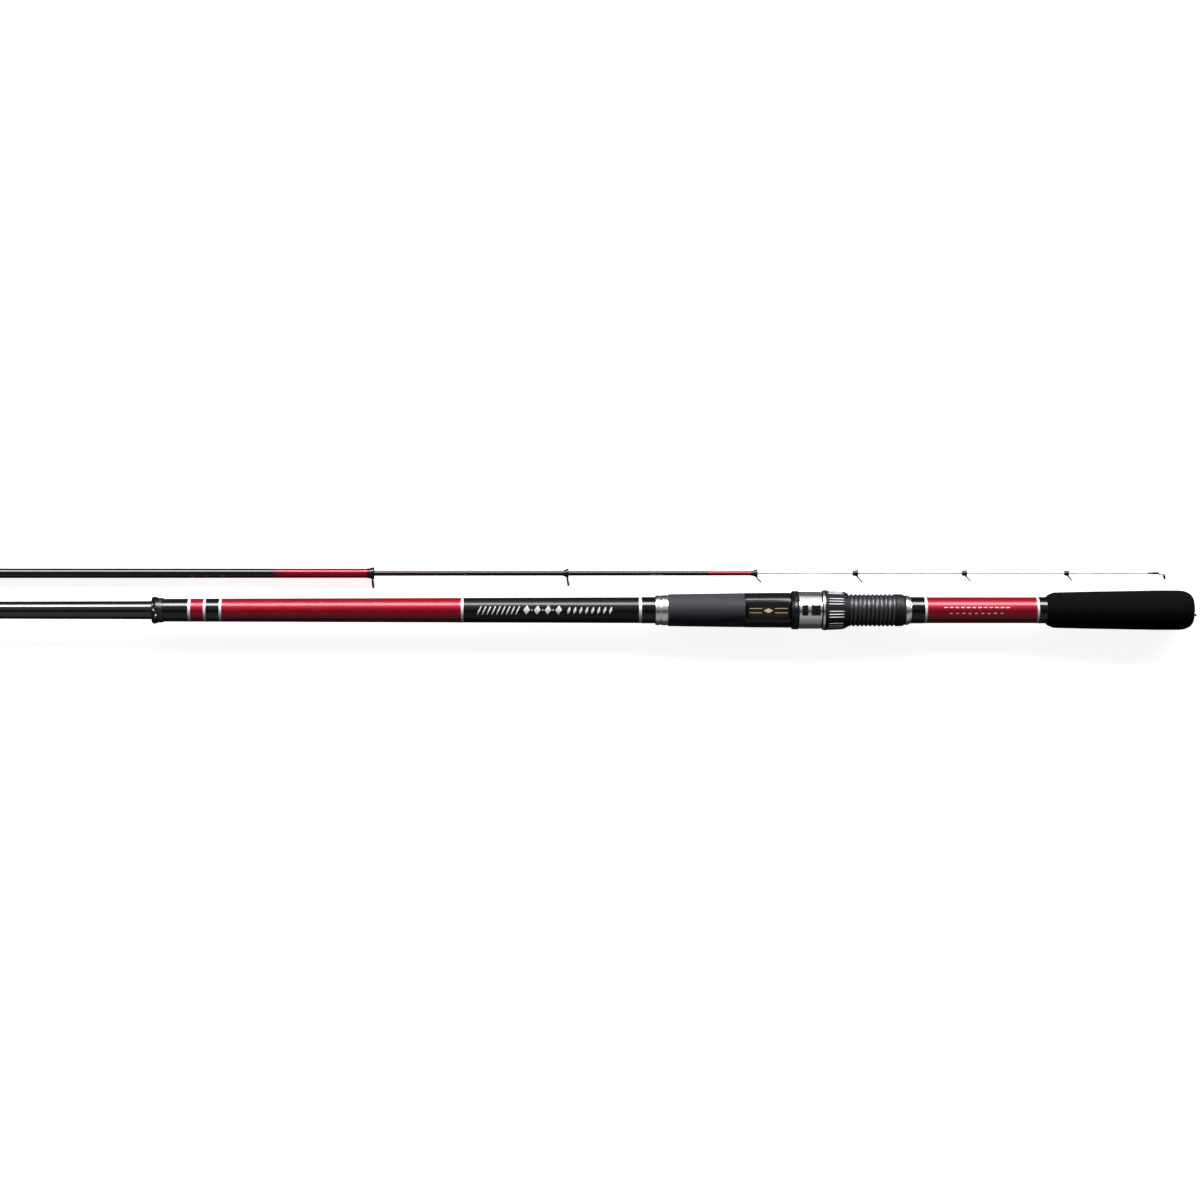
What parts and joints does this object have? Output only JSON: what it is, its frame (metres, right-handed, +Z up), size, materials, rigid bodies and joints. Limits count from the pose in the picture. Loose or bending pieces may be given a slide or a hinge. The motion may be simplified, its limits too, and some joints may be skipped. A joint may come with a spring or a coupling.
{
  "type": "telescopic fishing rod",
  "caption": "Telescopic fishing rod laid out as a butt length beside a tip length, with foam grip, screw-down reel seat, fixed ring guides and small sliding guides.",
  "frame": {"origin": "on the floor, under the middle of the whole part's bounding box", "axes": "+X along both lengths, towards the butt grip and the tip ring; +Y across, from the butt length to the tip length; +Z up"},
  "size_m": [1.7896, 0.0596, 0.0452],
  "materials": {
    "red_lacquer": "clear-coated red metallic lacquer on a fibre blank",
    "black_lacquer": "clear-coated black lacquer",
    "white_lacquer": "white lacquer on a solid fibre tip",
    "silver_foil": "polished silver band",
    "guide_wire": "gun-metal plated wire and sheet",
    "guide_ceramic": "polished dark ceramic",
    "chrome": "bright plating",
    "seat_black": "moulded, polished",
    "barrel_grey": "moulded, satin",
    "nut_black": "moulded, satin",
    "grip_rubber": "fine matte, bluish grey",
    "foam": "closed-cell foam, matte",
    "light_alloy": "turned",
    "plug_alloy": "turned, black anodised",
    "soft_rubber": "moulded",
    "thread_brown": "thread whipping under varnish"
  },
  "bodies": {
    "butt_section": {"butt_section_tube": "red_lacquer", "butt_section_trim": "silver_foil", "front_wrap": "black_lacquer", "rear_wrap": "black_lacquer", "mouth_guide_frame": "guide_wire", "mouth_guide_ring": "guide_ceramic", "front_check": "chrome", "foregrip": "grip_rubber", "fixed_hood": "seat_black", "seat_bed": "seat_black", "seat_plate": "seat_black", "seat_barrel": "barrel_grey", "rear_check": "chrome", "butt_grip": "foam", "butt_bushing": "light_alloy"},
    "slide_hood": {"hood_cushion": "seat_black", "hood_shell": "chrome", "hood_washer": "chrome"},
    "lock_nut": {"lock_nut": "nut_black"},
    "plug_gasket": {"plug_gasket": "soft_rubber"},
    "butt_plug": {"butt_plug": "plug_alloy", "plug_bumper": "soft_rubber"},
    "lanyard_ring": {"lanyard_ring": "chrome"},
    "section_3": {"section_3_tube": "black_lacquer", "section_3_wrap": "red_lacquer", "section_3_guide_frame": "guide_wire", "section_3_guide_ring": "guide_ceramic"},
    "section_2": {"section_2_tube": "black_lacquer", "section_2_shoulder": "silver_foil", "section_2_guide_frame": "guide_wire", "section_2_guide_ring": "guide_ceramic"},
    "section_1": {"section_1_tube": "black_lacquer", "solid_tip": "white_lacquer", "tip_whipping": "thread_brown", "tip_top_frame": "guide_wire", "tip_top_ring": "guide_ceramic"},
    "sliding_guide_1": {"sliding_guide_1_frame": "guide_wire", "sliding_guide_1_ring": "guide_ceramic"},
    "sliding_guide_2": {"sliding_guide_2_frame": "guide_wire", "sliding_guide_2_ring": "guide_ceramic"},
    "sliding_guide_3": {"sliding_guide_3_frame": "guide_wire", "sliding_guide_3_ring": "guide_ceramic"},
    "sliding_guide_4": {"sliding_guide_4_frame": "guide_wire", "sliding_guide_4_ring": "guide_ceramic"},
    "sliding_guide_5": {"sliding_guide_5_frame": "guide_wire", "sliding_guide_5_ring": "guide_ceramic"}
  },
  "joints": [
    {"name": "section_3_slide", "type": "slide", "parent": "butt_section", "child": "section_3", "axis": [1, 0, 0], "range_m": [0, 0.796]},
    {"name": "hood_slide", "type": "slide", "parent": "butt_section", "child": "slide_hood", "axis": [1, 0, 0], "range_m": [0, 0.02401]},
    {"name": "lock_nut_turn", "type": "hinge", "parent": "slide_hood", "child": "lock_nut", "pos_m": [0.54522, -0.0108, 0.019], "axis": [1, 0, 0], "range_deg": [0, 2160]},
    {"name": "plug_slide", "type": "slide", "parent": "butt_section", "child": "plug_gasket", "axis": [1, 0, 0], "range_m": [0, 0.03201]},
    {"name": "butt_plug_turn", "type": "hinge", "parent": "plug_gasket", "child": "butt_plug", "pos_m": [0.88521, -0.0108, 0.019], "axis": [1, 0, 0], "range_deg": [0, 7680]},
    {"name": "lanyard_ring_swing", "type": "hinge", "parent": "butt_plug", "child": "lanyard_ring", "pos_m": [0.89041, -0.0108, 0.019], "axis": [0, 0.5, -0.866], "range_deg": [-150, 40]},
    {"name": "section_2_lift", "type": "slide", "parent": "butt_section", "child": "section_2", "axis": [0, 0, 1], "range_m": [0, 0.15]},
    {"name": "section_1_slide", "type": "slide", "parent": "section_2", "child": "section_1", "axis": [-1, 0, 0], "range_m": [0, 0.7]},
    {"name": "sliding_guide_1_slide", "type": "slide", "parent": "section_1", "child": "sliding_guide_1", "axis": [1, 0, 0], "range_m": [0, 0.52231]},
    {"name": "sliding_guide_2_slide", "type": "slide", "parent": "section_1", "child": "sliding_guide_2", "axis": [1, 0, 0], "range_m": [0, 0.34981]},
    {"name": "sliding_guide_3_slide", "type": "slide", "parent": "section_1", "child": "sliding_guide_3", "axis": [1, 0, 0], "range_m": [0, 0.26001]},
    {"name": "sliding_guide_4_slide", "type": "slide", "parent": "section_1", "child": "sliding_guide_4", "axis": [1, 0, 0], "range_m": [0, 0.16201]},
    {"name": "sliding_guide_5_slide", "type": "slide", "parent": "section_1", "child": "sliding_guide_5", "axis": [1, 0, 0], "range_m": [0, 0.07011]}
  ],
  "couplings": [
    {"joint": "hood_slide", "follows": "lock_nut_turn", "m_per_rad": 0.00063662},
    {"joint": "plug_slide", "follows": "butt_plug_turn", "m_per_rad": 0.00023873},
    {"joint": "sliding_guide_1_slide", "follows": "section_1_slide", "ratio": 0.74614},
    {"joint": "sliding_guide_2_slide", "follows": "section_1_slide", "ratio": 0.49971},
    {"joint": "sliding_guide_3_slide", "follows": "section_1_slide", "ratio": 0.37143},
    {"joint": "sliding_guide_4_slide", "follows": "section_1_slide", "ratio": 0.23143},
    {"joint": "sliding_guide_5_slide", "follows": "section_1_slide", "ratio": 0.10014}
  ]
}
